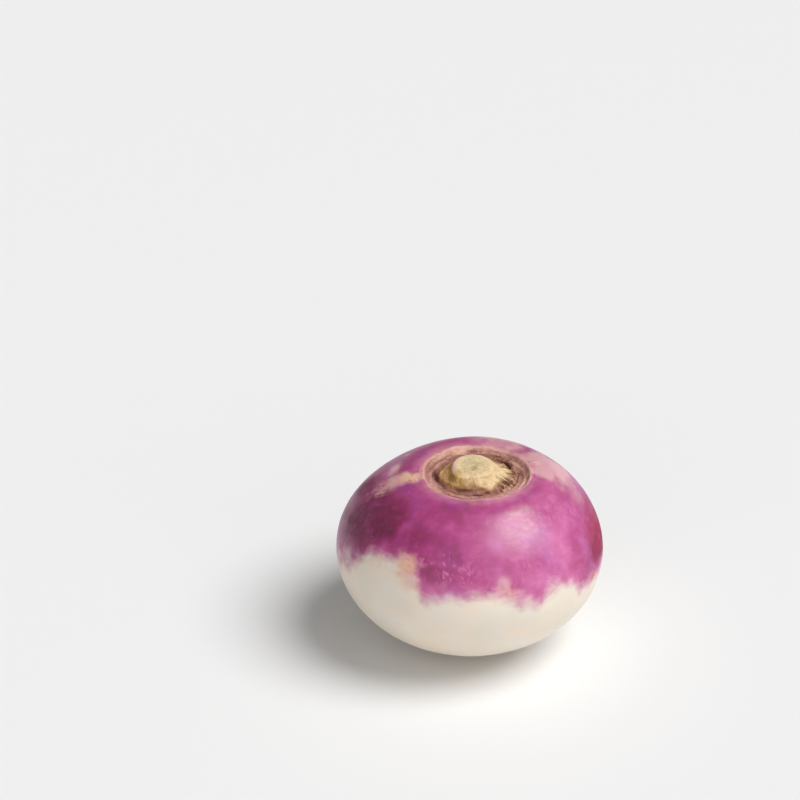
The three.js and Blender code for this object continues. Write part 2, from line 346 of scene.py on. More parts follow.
# What is stored on the root cut's points, where that isn't 0.
ON_THE_ROOT_CUT = {"edge_mm": -40.0, "depth": 0.5, "root_cut": 1.0, "tone": (0.7, 0.6, 0.45, 1.0)}

# Noises by place: cells to a metre, detail and roughness.
PLACED_PATTERNS = {
    "mottle": (130.0, 4.0, 0.5),
    "clouds": (55.0, 2.0, 0.55),
    "blotches": (300.0, 2.0, 0.5),
    "violets": (95.0, 2.0, 0.55),
    "greys": (60.0, 3.0, 0.55),
    "fine": (900.0, 3.0, 0.55),
}
# Noises that follow the skin: cells round it and down it, detail, roughness and distortion.
FLOWING_PATTERNS = {
    "flecks": ((27, 27, 19), 1.0, 0.5, 0.3),
    "drips": ((11, 11, 5), 1.0, 0.5, 0.0),
    "smears": ((9, 9, 17), 2.0, 0.5, 0.0),
    "growth": ((6, 6, 34), 3.0, 0.55, 0.0),
    "flesh": ((14, 14, 30), 3.0, 0.55, 0.0),
}
WANDER_SCALE = 140.0  # the noise that makes them wander, and how far
WANDER_REACH = (0.16, 0.16, 0.12)
# How far each pattern moves the purple's edge, in millimetres, its depth, and the red and pink patches.
EDGE_SWAY = {"smears": 6.0, "mottle": 4.0, "blotches": 2.5}
DEPTH_SWAY = {"mottle": 0.5, "clouds": 0.45, "blotches": 0.3, "growth": 0.16, "drips": 0.15}
RED_SWAY = {"growth": 0.6, "mottle": 0.9}
BLUSH_AND_HIGHLIGHT_SWAY = {"growth": 0.6, "blotches": 0.5, "mottle": 0.6}
# Ramps: the value where each begins and where it ends, then what it gives at these if not 0 and 1.
COVERED = (-4.2, 3.8)
PALER_EDGE = (0, 8, -0.16, 0)
FLECKS = (0.48, 0.76)
BETWEEN_FLECKS = (0.36, 0.58, 1.0, 0.0)
VIOLET_CLOUDS = (0.45, 0.7, 0, 0.5)
VIOLET_BY_DEPTH = (0.65, 0.95, 1.0, 0.2)
RED_SHARE = (0.0, 1.0, 0.0, 0.9)
BLUSH_AND_HIGHLIGHT_SHARE = (0.0, 1.1, 0.0, 0.85)
WARM_CLOUDS = (0.35, 0.65)
GREY_CLOUDS = (0.45, 0.7, 0.0, 0.6)
CORK_STREAKS = (0.3, 0.62, 0.45, 1.0)
WAX_ROUGHNESS = (0.3, 0.7, 0.33, 0.42)
PLUM_ROUGHNESS = (0.8, 1.1, 0.0, 0.2)
# What each adds at its strongest, to the depth, the pink, the roughness and the bump.
FLECK_DEPTH = -0.34
FLECK_BLUSH = -0.3
CORK_ROUGHNESS, RED_ROUGHNESS, CROWN_ROUGHNESS = 0.25, 0.35, 0.45
SKIN_BUMP, CORK_BUMP, CROWN_BUMP = 0.12, 0.5, 0.8
CROWN_SHADE_SHARE = 0.4  # how much of the crown's shades its colours are multiplied by

# ---- the studio ----

FLOOR_RADIUS = 6000.0
FLOOR_SIDES = 96
FLOOR_WHITE = (0.86, 0.86, 0.86)
FLOOR_ROUGHNESS = 0.7
SUNS = (  # name, direction, strength and spread in degrees
    ("key", (0.53, -0.16, 0.83), 2.7, 38),
    ("fill", (0.15, -0.93, 0.25), 1.15, 100),
)
WALL_GLOW = 0.45
CEILING_GLOW = 0.15
CEILING_FROM = 0.6  # how far up, from 0 level to 1 overhead, the glow has fallen to the ceiling's


# ---- numbers ----


def eased(share):
    """A share from 0 to 1 that starts and ends gently."""
    return share * share * (3.0 - 2.0 * share)


def smoothstep(value, low, high):
    return eased(np.clip((value - low) / (high - low), 0.0, 1.0))


def bump(offset, reach):
    """1 at the middle, falling smoothly to 0 at that reach."""
    share = np.minimum(np.abs(offset) / reach, 1.0)
    return (1.0 - share * share) ** 2


def hump(value, middle, reach, height):
    return height * bump(value - middle, reach)


def draw(number):
    """A number from 0 to 1 that is always the same for the same number."""
    wave = math.sin(number * 12.9898) * 43758.5453
    return wave - math.floor(wave)


def lattice(cell, seed):
    """A number from 0 to 1 for each whole-numbered cell."""
    number = cell[..., 0] * 73856093 + cell[..., 1] * 19349663 + cell[..., 2] * 83492791 + seed * 15485863
    number = (number ^ (number >> 13)) * 1274126177
    number = (number ^ (number >> 15)) * 668265263
    return ((number ^ (number >> 16)) & 0xFFFF) / 65535.0


def noise(place, seed, octaves=3):
    """Smooth noise from -1 to 1, with cells of size 1 and finer ones added."""
    total, strength, whole = 0.0, 1.0, 0.0
    for octave in range(octaves):
        spot = place * 2.0**octave + 31.7 * octave
        cell = np.floor(spot).astype(np.int64)
        share = eased(spot - cell)
        value = 0.0
        for corner in range(8):
            step = np.array([corner & 1, (corner >> 1) & 1, corner >> 2])
            weight = np.where(step == 1, share, 1.0 - share).prod(axis=-1)
            value = value + weight * lattice(cell + step, seed + octave)
        total = total + strength * (2.0 * value - 1.0)
        whole += strength
        strength *= 0.5
    return total / whole


def turn_between(start, end):
    """The angle between two turns, the short way round."""
    return np.abs((end - start + math.pi) % TAU - math.pi)


# ---- the form, by the model's own formulas ----


def smooth_curve(points, steps):
    """A centripetal Catmull-Rom curve through the points, as radii and heights."""
    spots = np.array(points, dtype=float)
    spots = np.vstack([2 * spots[0] - spots[1], spots, 2 * spots[-1] - spots[-2]])
    curve = [spots[1][None]]
    for before, start, end, after in zip(spots, spots[1:], spots[2:], spots[3:]):
        gaps = [math.sqrt(np.linalg.norm(b - a)) for a, b in ((before, start), (start, end), (end, after))]
        leave = (start - before) / gaps[0] - (end - before) / (gaps[0] + gaps[1]) + (end - start) / gaps[1]
        reach = (end - start) / gaps[1] - (after - start) / (gaps[1] + gaps[2]) + (after - end) / gaps[2]
        leave, reach = leave * gaps[1], reach * gaps[1]
        t = np.linspace(0, 1, steps + 1)[1:, None]
        cubic = 2 * start - 2 * end + leave + reach
        square = 3 * end - 3 * start - 2 * leave - reach
        curve.append(cubic * t**3 + square * t**2 + leave * t + start)
    return np.vstack(curve)


def leaf_base_edge(bases, turn):
    leaves, _, bulge, _ = bases
    edge = np.zeros_like(turn)
    for leaf in leaves:
        away = turn_between(leaf * GOLDEN_ANGLE, turn) / (BASE_WIDTH * (0.8 + 0.4 * draw(leaf)))
        edge = np.maximum(edge, bulge * (0.6 + 0.4 * draw(leaf + 40)) * (1 - away * away))
    return edge


def stub_outline(turn):
    corners = 0.4 + 0.25 * np.maximum(0, np.sin(turn)) - 0.14 * np.cos(4 * turn)
    return corners + 0.12 * np.sin(3 * turn + 2.2) + 0.08 * np.sin(5 * turn + 1)


def crown_point(radius, height, turn):
    out = radius + bump(radius - STUB_RADIUS, STUB_OUTLINE_REACH) * stub_outline(turn)
    for bases in (INNER_BASES, OUTER_BASES):
        _, edge_radius, bulge, reach = bases
        out = out + bump(radius - edge_radius, reach) * (leaf_base_edge(bases, turn) - bulge / 2)
    squeeze = bump(radius - INNER_BASES[1], INNER_SQUEEZE_REACH) * np.sin(turn) ** 2
    out = out - INNER_SQUEEZE * squeeze
    lip_side = np.maximum(0, np.cos(turn - LIP_SQUEEZE_TURN)) ** 2
    out = out - hump(radius, *LIP_SQUEEZE) * lip_side
    on_stub = smoothstep(STUB_RADIUS + STUB_TILT_REACH - radius, 0, 1)
    up = height + on_stub * STUB_TILT * out * np.sin(turn)
    for stalk_turn, width, stalk_radius, reach, stalk_height in BUTTRESSES:
        near = bump(radius - stalk_radius, reach)
        up = up + stalk_height * bump(turn_between(stalk_turn, turn), width) * near
    up = up + hump(radius, *CREVICE_WAVES) * np.sin(4 * turn + 1.3)
    waves = np.sin(4 * turn + 0.4) + np.sin(9 * turn + 2)
    return out, up + hump(radius, *LIP_WAVES) * waves


def plain_height(radius):
    return HALF_HEIGHT * np.sqrt(np.maximum(0, 1 - (radius / HALF_WIDTH) ** 2))


def top_height(radius):
    flat = 1 - smoothstep(radius, *FLAT_TOP_END)
    return plain_height(radius) * (1 - flat) + CROWN_LEVEL * flat


def underside_height(radius):
    return -plain_height(radius) - TAPROOT_LENGTH * np.exp(-((radius / TAPROOT_SPREAD) ** 2))


def radius_of_cut(height):
    """The radius where the underside passes that height."""
    radii = np.linspace(0, HALF_WIDTH / 2, CUT_SEARCH_STEPS)
    return float(radii[np.searchsorted(underside_height(radii), height)])


CUT_HEIGHT = float(underside_height(0)) + CUT_ABOVE_TIP
CUT_RADIUS = radius_of_cut(CUT_HEIGHT)


def even_rings(curve, count):
    """Points evenly spaced along a curve, after its first one."""
    along = np.concatenate([[0], np.cumsum(np.linalg.norm(np.diff(curve, axis=0), axis=1))])
    stops = np.linspace(0, along[-1], count + 1)[1:]
    return np.stack([np.interp(stops, along, curve[:, axis]) for axis in range(2)], axis=1)


def skin_rings():
    """The radius and height of each ring, from the crown's middle to the root cut."""
    crown = even_rings(smooth_curve(CROWN_PROFILE, CURVE_STEPS), CROWN_RINGS)
    crown_heights = top_height(crown[:, 0]) + crown[:, 1]
    first = math.asin(crown[-1, 0] / HALF_WIDTH)
    last = math.pi - math.asin(CUT_RADIUS / HALF_WIDTH)
    polar = np.linspace(first, last, SEARCH_STEPS)
    radius = HALF_WIDTH * np.sin(polar)
    height = np.where(polar < math.pi / 2, top_height(radius), underside_height(radius))
    body = even_rings(np.stack([radius, height], axis=1), BODY_RINGS)
    radii = np.concatenate([crown[:, 0], body[:, 0]])
    heights = np.concatenate([crown_heights, body[:, 1]])
    return radii[:, None], heights[:, None]


def skin_points(radius, height, turn):
    """The plain form's points for each ring and turn, before any fine relief."""
    level = height - top_height(radius)
    in_crown = (radius <= CROWN_PROFILE[-1][0]) & (height > 0)
    out, up = crown_point(radius, level, turn)
    out = np.where(in_crown, out, radius)
    up = np.where(in_crown, up + top_height(radius), height)
    lobes = sum(share * np.cos(count * turn + start) for count, share, start in LOBES)
    reach = out * (1 + (radius / HALF_WIDTH) ** 2 * lobes)
    off_axis = np.where(height > 0, 1 - smoothstep(radius, LIP_RADIUS, HALF_WIDTH), 0)
    knob_turn = (turn - KNOB_TURN) * KNOB_RADIUS
    knob = KNOB_HEIGHT * np.exp(-(knob_turn**2 + (radius - KNOB_RADIUS) ** 2) / KNOB_SIZE**2)
    up = up + np.where(height > 0, knob, 0)
    stub = np.where(height > 0, 1 - smoothstep(radius, *STUB_SHIFT_END), 0)
    x = reach * np.cos(turn) + CROWN_MIDDLE * off_axis + STUB_SHIFT * stub
    y = reach * np.sin(turn)
    return np.stack([x, y, up - CUT_HEIGHT], axis=-1)


def grid_normals(points):
    """Outward normals of a grid whose rows run down the skin and whose columns run round it."""
    down = np.gradient(points, axis=0)
    across = np.roll(points, -1, axis=1) - np.roll(points, 1, axis=1)
    normals = np.cross(down, across)
    return normals / np.maximum(np.linalg.norm(normals, axis=-1, keepdims=True), 1e-9)


# ---- the skin's grid ----


def swirl(turn, way, around, along):
    """A place for noise: how fine it is round the axis, and how fine along the way."""
    return np.stack(np.broadcast_arrays(np.cos(turn) * around, np.sin(turn) * around, way * along), axis=-1)


class SkinGrid:
    """The skin's rings and turns, and where each of their points is on the plain form."""

    def __init__(self):
        self.turn = (np.arange(MERIDIANS) / MERIDIANS * TAU)[None]
        self.radius, self.height = skin_rings()
        self.above = self.height > 0
        steps = np.hypot(np.diff(self.radius[:, 0]), np.diff(self.height[:, 0]))
        self.along = np.concatenate([[0], np.cumsum(steps)])[:, None]
        self.flow = swirl(self.turn, self.along / HALF_WIDTH, 1, 1)
        polar = np.degrees(np.arctan2(self.radius / HALF_WIDTH, self.height / HALF_HEIGHT))
        bearing = (np.degrees(self.turn) + 90 + 180) % 360 - 180
        self.polar, self.bearing = np.broadcast_arrays(polar, bearing)
        self.plain = skin_points(self.radius, self.height, self.turn)
        crown_x = self.plain[..., 0] - CROWN_MIDDLE
        crown_y = self.plain[..., 1]
        self.plan_radius = np.hypot(crown_x, crown_y)
        self.plan_turn = np.arctan2(crown_y, crown_x)


# ---- fine relief ----


def crown_noises(grid):
    """The noises that the crown's relief and colours share, so that grooves are dark and fibres pale."""
    turn, radius, points = grid.turn, grid.radius, grid.plain
    warp = 0.35 * noise(points / 2.2, seed=17, octaves=2)
    warped_radius = radius + 1.2 * warp
    return {
        "grain": noise(points * 1.7, seed=11),
        "spots": noise(points * 0.65, seed=67),
        "fibres": noise(swirl(turn + 0.04 * warp, radius, around=19, along=0.22), seed=23, octaves=2),
        "strands": noise(swirl(turn + 0.08 * warp, radius, around=10, along=0.14), seed=29, octaves=2),
        "broken": noise(swirl(turn, radius, around=2.6, along=0.25), seed=37),
        "cracks": noise(swirl(turn, warped_radius, around=2.2, along=1.5), seed=31),
        "curls": noise(points / 0.95, seed=97, octaves=1),
    }


def texture(noises, heights):
    """The sum of some noises, each times its height."""
    return sum(height * noises[name] for name, height in heights.items())


def crown_relief(grid, noises):
    """How far the crown's fine texture stands up from the plain form."""
    radius, broken = grid.radius, noises["broken"]
    cut = 1 - smoothstep(radius, *CUT_END)
    relief = cut * (texture(noises, CUT_TEXTURE) - hump(radius, *PITH_DIP) + hump(radius, *CUT_RIDGE))
    relief = relief + hump(radius, *STUB_WALL) * (1 - cut) * texture(noises, WALL_TEXTURE)
    terraces = smoothstep(radius, *TERRACES_START) * (1 - smoothstep(radius, *TERRACES_END))
    relief = relief + terraces * texture(noises, TERRACE_TEXTURE)
    strands = bump(turn_between(STRANDS_TURN, grid.turn), STRANDS_WIDTH) * hump(radius, *STRANDS)
    relief = relief + strands * (texture(noises, STRAND_TEXTURE) - STRANDS_DEPTH)
    relief = relief - hump(radius, *INNER_CREVICE) * smoothstep(broken, *INNER_CREVICE_OPEN)
    relief = relief - hump(radius, *OUTER_CREVICE) * smoothstep(-broken, *OUTER_CREVICE_OPEN)
    return relief + hump(radius, *LIP_CREST) * texture(noises, LIP_TEXTURE)


def body_relief(grid):
    """How far the skin stands out: soft unevenness, rings of growth, and wrinkles at the root."""
    radius, below = grid.radius, grid.height < 0
    clear_of_cut = np.where(below, smoothstep(radius, CUT_RADIUS, CUT_RADIUS + EVEN_BY_CUT), 1)
    uneven = UNEVENNESS * clear_of_cut * noise(grid.plain / 13, seed=47, octaves=2)
    shoulder = smoothstep(radius, *SHOULDER_START) * (1 - smoothstep(radius, *SHOULDER_END)) * grid.above
    growth = noise(swirl(grid.turn, grid.along, around=7, along=0.9), seed=41, octaves=2)
    root = (1 - smoothstep(radius, *WRINKLES_END)) * below
    root = root * smoothstep(radius, CUT_RADIUS, CUT_RADIUS + WRINKLES_START)
    wrinkles = noise(swirl(grid.turn, grid.along, around=6, along=0.12), seed=53, octaves=2)
    return uneven + GROWTH_RING_HEIGHT * shoulder * growth + WRINKLE_HEIGHT * root * wrinkles


def root_scars():
    """Where the side roots broke off: turn, polar angle, half length and half width of each scar."""
    scars = []
    for row_turn in SCAR_ROW_TURNS:
        for index in range(SCARS_IN_A_ROW):
            seed = index + 20 * row_turn
            turn = row_turn + SCAR_TURN_SPREAD * (draw(seed) - 0.5)
            polar = FIRST_SCAR_POLAR + SCAR_SPACING * index + SCAR_POLAR_SPREAD * draw(seed + 5)
            half_length = SCAR_HALF_LENGTH[0] + SCAR_HALF_LENGTH[1] * draw(seed + 9)
            half_width = SCAR_HALF_WIDTH[0] + SCAR_HALF_WIDTH[1] * draw(seed + 13)
            scars.append((turn, polar, half_length, half_width))
    return scars


def skin_mm(degrees):
    """About how many millimetres those degrees of the polar angle reach down the skin."""
    return degrees * math.radians(1) * SKIN_MM_PER_RADIAN


def scar_share(grid):
    share = np.zeros(grid.polar.shape)
    for scar_turn, scar_polar, half_length, half_width in root_scars():
        across = turn_between(scar_turn, grid.turn) * grid.radius
        down = skin_mm(grid.polar - scar_polar)
        share = np.maximum(share, bump(across, half_length) * bump(down, half_width * SCAR_SOFTNESS))
    return share


def shaped_points(grid, noises, scars):
    """The skin's points with their fine relief, none of them under the flat that the turnip stands on."""
    crown = (1 - smoothstep(grid.radius, *CROWN_RELIEF_END)) * grid.above
    relief = body_relief(grid) * (1 - crown) - SCAR_DEPTH * scars
    points = grid.plain + grid_normals(grid.plain) * relief[..., None]
    points[..., 2] += crown * crown_relief(grid, noises)
    points[..., 2] = np.maximum(points[..., 2], 0)
    return points


# ---- markings ----


def patches(spots, bearing, polar, ragged):
    """The strongest of some soft patches, with ragged edges."""
    strength = np.zeros(np.broadcast(bearing, polar).shape)
    for spot_bearing, spot_polar, half_width, half_height, most in spots:
        across = ((bearing - spot_bearing + 180) % 360 - 180) / half_width
        down = (polar - spot_polar) / half_height
        away = np.sqrt(across**2 + down**2) + PATCH_RAGGED * ragged
        strength = np.maximum(strength, most * (1 - smoothstep(away, *PATCH_EDGE)))
    return strength


def purple_edge(bearing):
    """The polar angle of the purple's lower edge at each bearing."""
    bearings, polars = np.array(PURPLE_EDGE).T
    bearings = np.concatenate([bearings - 360, bearings, bearings + 360])
    polars = np.tile(polars, 3)
    index = np.clip(np.searchsorted(bearings, bearing) - 1, 0, len(bearings) - 2)
    share = eased((bearing - bearings[index]) / (bearings[index + 1] - bearings[index]))
    return polars[index] * (1 - share) + polars[index + 1] * share


def purple_reach(grid, ragged):
    """How many millimetres each point is inside the purple, or outside it if the number is under 0."""
    reach = skin_mm(purple_edge(grid.bearing) - grid.polar) + EDGE_RAGGED * ragged
    return reach * (1 - hump(grid.bearing, *SOFT_EDGE))


def purple_depth(grid, points, ragged):
    """How deep the purple's colour is, from about 0, pale, to 1, dark plum."""
    bearing, polar = grid.bearing, grid.polar
    depth = PLAIN_DEPTH + patches(PLUM_PATCHES, bearing, polar, ragged)
    depth = depth - patches(PALE_PATCHES, bearing, polar, ragged)
    depth = depth + DEPTH_WANDER * noise(points / 11.0, seed=73)
    # Paler to the right and at the front: partly paler skin, partly painted light where the key lamp and its
    # highlight fall.
    depth = depth - hump(bearing, *PALE_AND_PAINTED_LIGHT_SIDE)
    depth = depth - LIGHT_SHOULDER_STRENGTH * (1 - smoothstep(grid.radius, *LIGHT_SHOULDER_END))
    return depth - hump(bearing, *PALE_AND_PAINTED_HIGHLIGHT_FRONT_BEARINGS) * hump(polar, *PALE_AND_PAINTED_HIGHLIGHT_FRONT_POLARS)


def cork_share(grid, ragged, torn, scars):
    """How corky the skin is: in patches, in streaks and a pale line outside the lip, and on the scars."""
    cork = patches(CORK_PATCHES, grid.bearing, grid.polar, 0.9 * torn)
    dusty = DUST_STRENGTH * (1 - smoothstep(grid.radius + 1.2 * ragged, *DUST_END)) * grid.above
    cork = np.maximum(cork, dusty * smoothstep(noise(grid.flow * DUST_CELLS, seed=89), -0.6, 0.3))
    cork = np.maximum(cork, hump(grid.radius + 0.3 * ragged, *LIP_LINE) * grid.above)
    return np.maximum(cork, CORKY_SCARS * scars)


def crown_share(grid, noises):
    """1 inside the lip, where the crown has colours of its own, and 0 on the skin."""
    edge = grid.radius + 0.9 * noises["spots"] + 0.35 * noises["grain"]
    return (1 - smoothstep(edge, *CROWN_COLOURS_END)) * grid.above


def skin_markings(grid, points, noises, scars):
    """What the material reads at each point of the skin, by name."""
    ragged = noise(points / 5.0, seed=71)
    torn = noise(points / 2.6, seed=79)
    bearing, polar = grid.bearing, grid.polar
    tone = crown_colours(grid, noises)
    return {
        "edge_mm": purple_reach(grid, ragged),
        "depth": purple_depth(grid, points, ragged),
        "cork": cork_share(grid, ragged, torn, scars),
        "red": patches(RED_PATCHES, bearing, polar, ragged + 0.8 * torn),
        "blush_and_highlight": patches(BLUSH_AND_HIGHLIGHT_PATCHES, bearing, polar, ragged + 0.5 * torn),
        "flecked": patches(FLECK_PATCHES, bearing, polar, ragged),
        "crown": crown_share(grid, noises),
        "root_cut": np.zeros(polar.shape),
        "tone": np.concatenate([tone, np.ones((*polar.shape, 1))], axis=-1),
        "flow": grid.flow,
    }


# ---- the crown's colours ----


def mix(first, second, share):
    """Blends two colours, or arrays of them, by a share for each point."""
    share = np.clip(np.asarray(share), 0, 1)[..., None]
    return np.asarray(first) * (1 - share) + np.asarray(second) * share


def ragged_radius(grid, noises):
    return grid.radius + 0.5 * noises["grain"] + 0.4 * noises["spots"]


def near_turn(grid, turn, reach, strength):
    """A hump round one side of the crown."""
    return strength * bump(turn_between(turn, grid.plan_turn), reach)


def near_place(grid, turn, reach, radii):
    """1 at a place in the crown, falling to 0 round it."""
    return near_turn(grid, turn, reach, 1.0) * hump(grid.plan_radius, *radii)


def leaf_base_colours(grid, noises):
    """The leaf bases' browns, tans and pinks, with their patches over them."""
    grain, spots, cracks = (noises[name] for name in ("grain", "spots", "cracks"))
    terrace = mix(TERRACE_TAN, BROWN, smoothstep(-spots + 0.4 * cracks, 0.1, 0.5))
    band = mix(MAUVE_BROWN, BROWN, 0.85 * smoothstep(cracks + 0.8 * grain, 0.0, 0.45))
    band = mix(band, INNER_PINK, 0.85 * smoothstep(-cracks + 0.8 * grain, 0.05, 0.45))
    tone = mix(terrace, band, smoothstep(ragged_radius(grid, noises), *TERRACE_COLOURS_END))
    for colour, places in CROWN_PATCHES:
        share = patches(places, np.degrees(grid.plan_turn), grid.plan_radius, 0.9 * spots + 0.7 * grain)
        tone = mix(tone, colour, share)
    return tone


def with_curls(tone, grid, curls):
    """Adds small dark and tan curls between the leaf bases."""
    near = near_place(grid, *CURLS)
    tone = mix(tone, DARK_BROWN, 0.6 * near * smoothstep(-curls, 0.05, 0.4))
    return mix(tone, SLOPE_TAN, 0.95 * near * bump(curls - 0.08, 0.25))


def with_strands(tone, grid, fibres):
    """Adds the stub's cream strands, with dark gaps between them."""
    near = near_place(grid, *COLOURED_STRANDS)
    tone = mix(tone, STUB_CREAM, near * smoothstep(fibres, 0.14, 0.36))
    return mix(tone, DARK_BROWN, 0.85 * near * smoothstep(-fibres, 0.02, 0.24))


def with_lip(tone, grid, noises):
    """Adds the lip's pink, and a darker crease inside it."""
    edge = ragged_radius(grid, noises)
    crease = hump(edge, *CREASE) * (1 - smoothstep(np.sin(grid.plan_turn), 0.2, 0.8))
    crease = crease * (1 - near_turn(grid, *NO_CREASE))
    tone = mix(tone, MAUVE_BROWN, 0.5 * crease)
    lip = mix(LIP_PINK, INNER_PINK, near_turn(grid, *DULL_LIP))
    return mix(tone, lip, smoothstep(edge, *LIP_START))


def stub_cut_colours(grid, noises):
    """The cut's flesh, its dark pith, and its rim, which is olive at the lower left."""
    grain, spots, turn = noises["grain"], noises["spots"], grid.plan_turn
    x, y = grid.plan_radius * np.cos(turn), grid.plan_radius * np.sin(turn)
    cut = mix(CUT_FLESH, CUT_GREEN, smoothstep(spots, -0.3, 0.3))
    from_pith = np.hypot(x - PITH_PLACE[0], y - PITH_PLACE[1]) + 0.6 * grain
    cut = mix(cut, PITH, hump(from_pith, *PITH_RING))
    cut = mix(cut, PITH, 0.75 * (1 - smoothstep(from_pith, *PITH_END)))
    rim = mix(STUB_CREAM, CUT_RIM, smoothstep(np.cos(turn - PALE_RIM_TURN), 0, 0.8))
    rim = mix(rim, OLIVE_TAN, near_turn(grid, *OLIVE_RIM))
    across, back = CUT_HALF_SIZES
    from_middle = np.hypot((x - CUT_MIDDLE_X) / across, y / back)
    return mix(cut, rim, smoothstep(from_middle + 0.12 * grain, 0.85, 1.1))


def crown_colours(grid, noises):
    """The crown's colours: by radius on the stub's cut and the lip, and by patches between them."""
    tone = leaf_base_colours(grid, noises)
    tone = with_curls(tone, grid, noises["curls"])
    tone = with_strands(tone, grid, noises["fibres"])
    tone = with_lip(tone, grid, noises)
    wall_edge = grid.radius + 0.4 * noises["grain"] + 0.3 * noises["spots"]
    return mix(stub_cut_colours(grid, noises), tone, smoothstep(wall_edge, *STUB_WALL_START))


# ---- the turnip ----


def add_object(name, data):
    thing = bpy.data.objects.new(name, data)
    bpy.context.scene.collection.objects.link(thing)
    return thing


def make_mesh(name, points, faces, attributes=()):
    mesh = bpy.data.meshes.new(name)
    mesh.from_pydata((points * MM).tolist(), [], faces)
    mesh.polygons.foreach_set("use_smooth", np.ones(len(mesh.polygons), dtype=bool))
    kinds = {(): ("FLOAT", "value"), (3,): ("FLOAT_VECTOR", "vector"), (4,): ("FLOAT_COLOR", "color")}
    for attribute, values in attributes:
        kind, key = kinds[values.shape[1:]]
        flat = values.ravel().astype(np.float32)
        mesh.attributes.new(attribute, kind, "POINT").data.foreach_set(key, flat)
    mesh.validate()
    return add_object(name, mesh)


def closed_grid_faces(rings, columns):
    """Faces of a closed body: a point, then rings of points, then a last point."""
    pairs = [(column, (column + 1) % columns) for column in range(columns)]
    last = 1 + columns * rings
    lowest = last - columns
    faces = [(0, 1 + a, 1 + b) for a, b in pairs]
    for ring in range(1, lowest, columns):
        below = ring + columns
        faces.extend((ring + a, below + a, below + b, ring + b) for a, b in pairs)
    faces.extend((lowest + a, last, lowest + b) for a, b in pairs)
    return faces


def root_cut(grid):
    """The root cut's points, in rings with a faint grain, and what the material reads on it."""
    radius = CUT_RADIUS * (1 - (np.arange(CUT_RINGS) + 0.5) / CUT_RINGS)[:, None]
    x, y = radius * np.cos(grid.turn), radius * np.sin(grid.turn)
    points = np.stack([x, y, np.zeros_like(x)], axis=-1)
    grain = 1 + noise(points * 1.2, seed=83)
    points[..., 2] = ROOT_GRAIN_HEIGHT * smoothstep(CUT_RADIUS - radius, 0.2, 1.2) * grain
    flow = swirl(grid.turn, (grid.along[-1] + CUT_RADIUS - radius) / HALF_WIDTH, 1, 1)
    return points, {**ON_THE_ROOT_CUT, "flow": flow}


def with_root_cut(on_skin, on_cut):
    """Joins the skin's numbers to the root cut's. The two end points take the first one and the last one."""
    on_cut = np.broadcast_to(on_cut, (CUT_RINGS, *on_skin.shape[1:]))
    joined = np.concatenate([on_skin, on_cut]).reshape(-1, *on_skin.shape[2:])
    return np.concatenate([joined[:1], joined, joined[-1:]])


def fit_to_model(points):
    """Stands the points in the model's box, shrunk evenly if they would reach out of it."""
    low, high = (np.array(corner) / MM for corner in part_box("turnip"))
    lowest, highest = points.min(axis=0), points.max(axis=0)
    scale = INSIDE_BOX * min(1.0, *((high - low) / (highest - lowest)))
    across = np.array([1, 1, 0])
    return (points - (lowest + highest) / 2 * across) * scale + (low + high) / 2 * across


def make_turnip():
    """The turnip as one closed piece, with what its material reads stored on its points."""
    grid = SkinGrid()
    noises = crown_noises(grid)
    scars = scar_share(grid)
    skin = shaped_points(grid, noises, scars)
    cut, on_cut = root_cut(grid)
    markings = skin_markings(grid, skin, noises, scars)
    attributes = [(name, with_root_cut(values, on_cut.get(name, 0.0))) for name, values in markings.items()]
    rings = np.concatenate([skin, cut])
    points = np.vstack([skin[0].mean(axis=0), rings.reshape(-1, 3), cut[-1].mean(axis=0)])
    faces = closed_grid_faces(len(rings), MERIDIANS)
    return make_mesh("turnip_body", fit_to_model(points), faces, attributes)


# ---- materials ----


